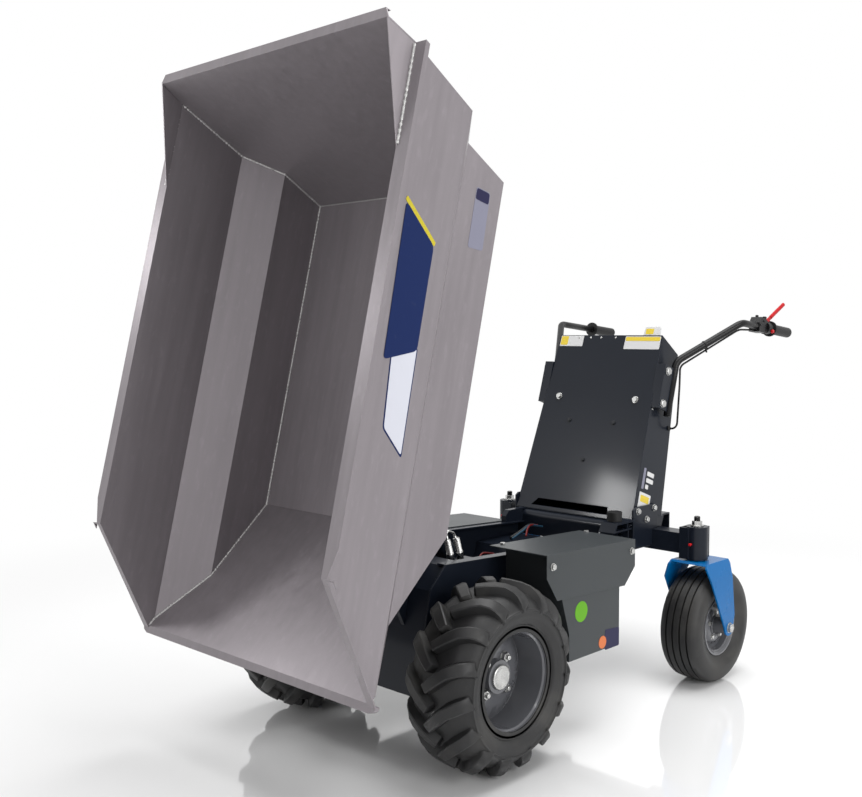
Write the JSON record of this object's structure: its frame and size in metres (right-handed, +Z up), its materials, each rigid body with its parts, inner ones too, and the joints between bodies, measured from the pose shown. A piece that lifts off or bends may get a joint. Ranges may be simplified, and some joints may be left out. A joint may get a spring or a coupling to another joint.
{
  "type": "walk-behind tipping barrow",
  "caption": "Walk-behind battery tipping barrow: steel tub tipped forward on a hinge and ram, lugged drive wheels, rear swivel castors, control tower and handlebars.",
  "frame": {"origin": "on the ground, midway between the machine's ends and sides as it is parked with the tub tipped", "axes": "+X forward, the way the tub tips; +Y to the operator's left; +Z up"},
  "size_m": [2.0752, 0.896, 1.6748],
  "materials": {
    "tub_grey": "silver-grey semi-gloss paint",
    "chassis_black": "blue-black semi-gloss paint",
    "cover_grey": "dark grey semi-gloss paint",
    "fork_blue": "bright blue gloss paint",
    "rim_grey": "dark grey gloss paint",
    "zinc": "zinc plated steel",
    "tyre_rubber": "black tyre rubber",
    "rubber": "black rubber",
    "black_plastic": "black plastic",
    "red_plastic": "red plastic",
    "chrome_rod": "hard chrome",
    "battery_case": "dark battery case",
    "hydraulic_grey": "grey paint on cast parts"
  },
  "bodies": {
    "chassis": {"side_rails": "chassis_black", "nose_plate": "chassis_black", "ram_cross_member": "chassis_black", "belly_pan": "chassis_black", "drive_axle": "hydraulic_grey", "hydraulic_unit": "hydraulic_grey", "valve_block": "chassis_black", "pipe_unions": "zinc", "battery_covers": "cover_grey", "battery_trays": "chassis_black", "batteries": "battery_case", "rear_sill": "chassis_black", "buffer_brackets": "chassis_black", "rubber_buffers": "rubber", "castor_beam": "chassis_black", "tower_base": "chassis_black", "tower_shell": "chassis_black", "tower_back": "chassis_black", "handlebars": "chassis_black", "hand_grips": "rubber", "bar_brackets": "chassis_black", "control_pod": "black_plastic", "control_lever": "red_plastic", "control_cable": "black_plastic"},
    "tub": {"tub_floor": "tub_grey", "tub_side_left": "tub_grey", "tub_side_right": "tub_grey", "tub_front": "tub_grey", "tub_rear": "tub_grey", "tub_wings": "tub_grey", "tub_subframe": "chassis_black"},
    "ram_barrel_body": {"ram_barrel": "chassis_black"},
    "ram_rod_body": {"ram_rod": "chrome_rod"},
    "front_wheel_left": {"front_tyre_left": "tyre_rubber", "front_rim_left": "rim_grey", "front_hub_left": "zinc"},
    "castor_left": {"castor_fork_left": "fork_blue", "castor_pins_left": "zinc"},
    "castor_wheel_left": {"castor_tyre_left": "tyre_rubber", "castor_rim_left": "rim_grey"},
    "front_wheel_right": {"front_tyre_right": "tyre_rubber", "front_rim_right": "rim_grey", "front_hub_right": "zinc"},
    "castor_right": {"castor_fork_right": "fork_blue", "castor_pins_right": "zinc"},
    "castor_wheel_right": {"castor_tyre_right": "tyre_rubber", "castor_rim_right": "rim_grey"}
  },
  "joints": [
    {"name": "front_wheel_left_roll", "type": "hinge", "parent": "chassis", "child": "front_wheel_left", "pos_m": [0.444, 0.327, 0.2286], "axis": [0, 1, 0], "continuous": true},
    {"name": "front_wheel_right_roll", "type": "hinge", "parent": "chassis", "child": "front_wheel_right", "pos_m": [0.444, -0.327, 0.2286], "axis": [0, 1, 0], "continuous": true},
    {"name": "castor_left_swivel", "type": "hinge", "parent": "chassis", "child": "castor_left", "pos_m": [-0.452, 0.357, 0.42], "axis": [0, 0, 1], "continuous": true},
    {"name": "castor_left_roll", "type": "hinge", "parent": "castor_left", "child": "castor_wheel_left", "pos_m": [-0.507, 0.357, 0.168], "axis": [0, 1, 0], "continuous": true},
    {"name": "castor_right_swivel", "type": "hinge", "parent": "chassis", "child": "castor_right", "pos_m": [-0.452, -0.357, 0.42], "axis": [0, 0, 1], "continuous": true},
    {"name": "castor_right_roll", "type": "hinge", "parent": "castor_right", "child": "castor_wheel_right", "pos_m": [-0.507, -0.357, 0.168], "axis": [0, 1, 0], "continuous": true},
    {"name": "tub_tip", "type": "hinge", "parent": "chassis", "child": "tub", "pos_m": [0.604, 0, 0.515], "axis": [0, -1, 0], "range_deg": [0, 76.45]},
    {"name": "ram_swing", "type": "hinge", "parent": "chassis", "child": "ram_barrel_body", "pos_m": [0.044, 0, 0.26], "axis": [0, 1, 0], "range_deg": [0, 11.95]},
    {"name": "ram_slide", "type": "slide", "parent": "ram_barrel_body", "child": "ram_rod_body", "axis": [-0.7402, 0, -0.6724], "range_m": [0, 0.21718]}
  ],
  "couplings": [
    {"joint": "ram_swing", "follows": "tub_tip", "ratio": 0.15623},
    {"joint": "ram_slide", "follows": "tub_tip", "m_per_rad": 0.16275}
  ]
}
